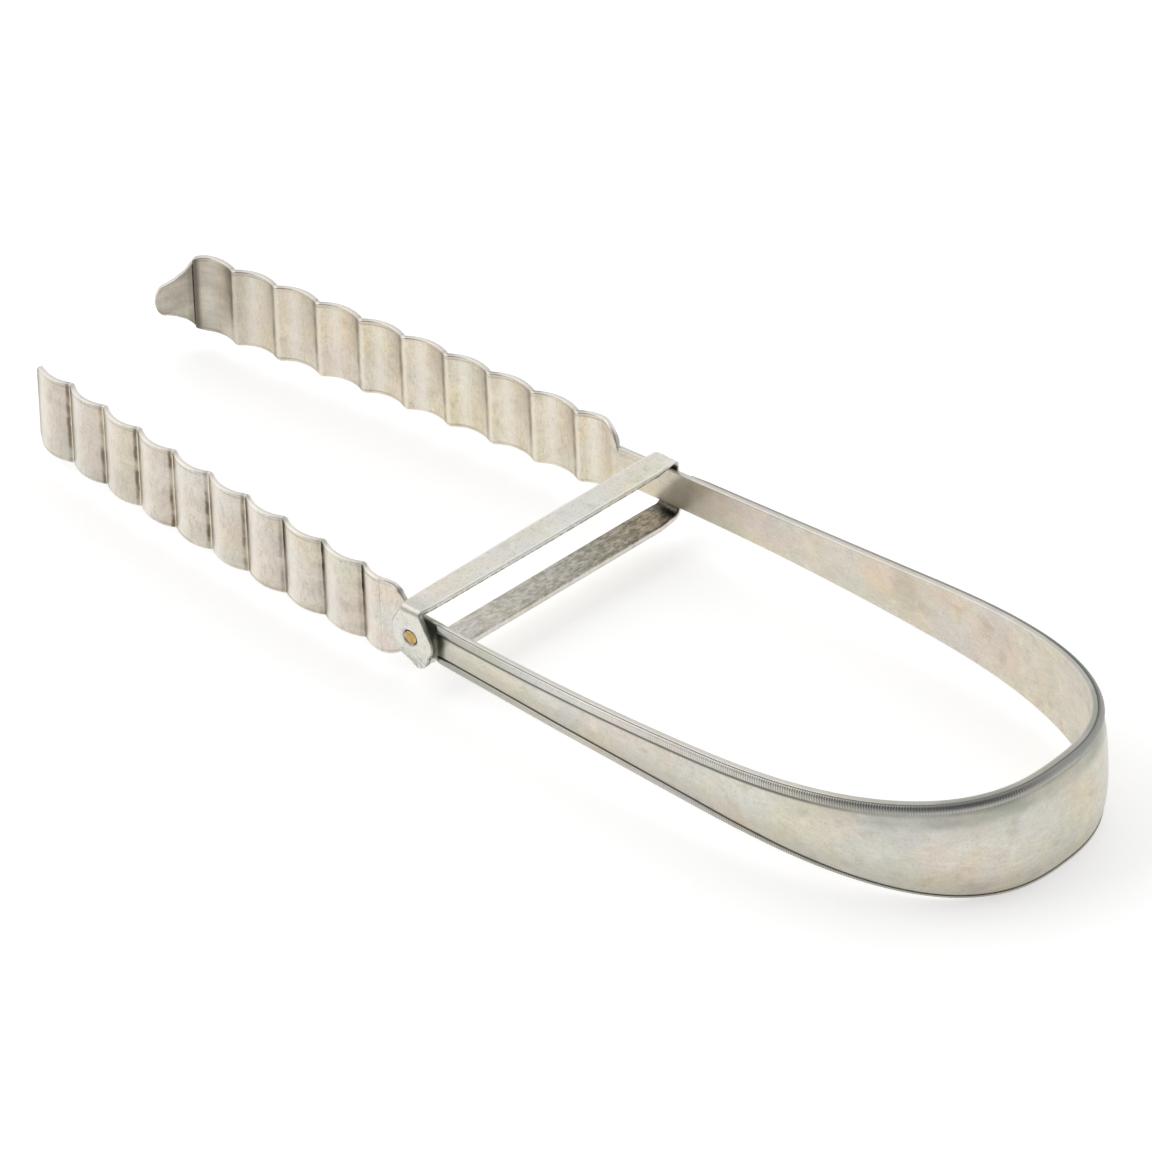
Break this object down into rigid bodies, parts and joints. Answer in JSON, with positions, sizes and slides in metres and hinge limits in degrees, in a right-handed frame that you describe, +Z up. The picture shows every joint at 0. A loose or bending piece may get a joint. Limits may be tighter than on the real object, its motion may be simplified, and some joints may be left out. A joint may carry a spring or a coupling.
{
  "type": "serving tongs",
  "caption": "Silver serving tongs: a sprung U-shaped strip, two fluted blades with inward claws and a riveted guide across the arms.",
  "frame": {"origin": "middle of the length and of the width, on the lower edge of the bow", "axes": "+X runs from the blade tips to the bow, +Z is up, the two halves mirror each other about the XZ plane"},
  "size_m": [0.2517, 0.0724, 0.025],
  "materials": {
    "silver": "old silver, worn satin with cloudy patina",
    "brass": "worn, ochre"
  },
  "bodies": {
    "bow": {"bow_strip": "silver", "bow_upper_border": "silver", "bow_lower_border": "silver"},
    "near_arm": {"near_arm_strip": "silver", "near_upper_border": "silver", "near_lower_border": "silver", "near_blade": "silver", "guide_rivet": "brass", "guide_spacer": "silver"},
    "far_arm": {"far_arm_strip": "silver", "far_upper_border": "silver", "far_lower_border": "silver", "far_blade": "silver"},
    "guide": {"guide_bar": "silver", "guide_cheek": "silver"}
  },
  "joints": [
    {"name": "near_flex", "type": "hinge", "parent": "bow", "child": "near_arm", "pos_m": [0.10793, -0.02622, 0.0125], "axis": [0, 0, -1], "range_deg": [0, 3.95], "stiffness_Nm_per_rad": 5},
    {"name": "far_flex", "type": "hinge", "parent": "bow", "child": "far_arm", "pos_m": [0.10793, 0.02622, 0.0125], "axis": [0, 0, 1], "range_deg": [0, 3.95], "stiffness_Nm_per_rad": 5},
    {"name": "guide_rock", "type": "hinge", "parent": "near_arm", "child": "guide", "pos_m": [-0.0122, -0.03575, 0.0125], "axis": [0, 1, 0], "range_deg": [-3, 3]}
  ],
  "couplings": [
    {"joint": "far_flex", "follows": "near_flex", "ratio": 1}
  ]
}
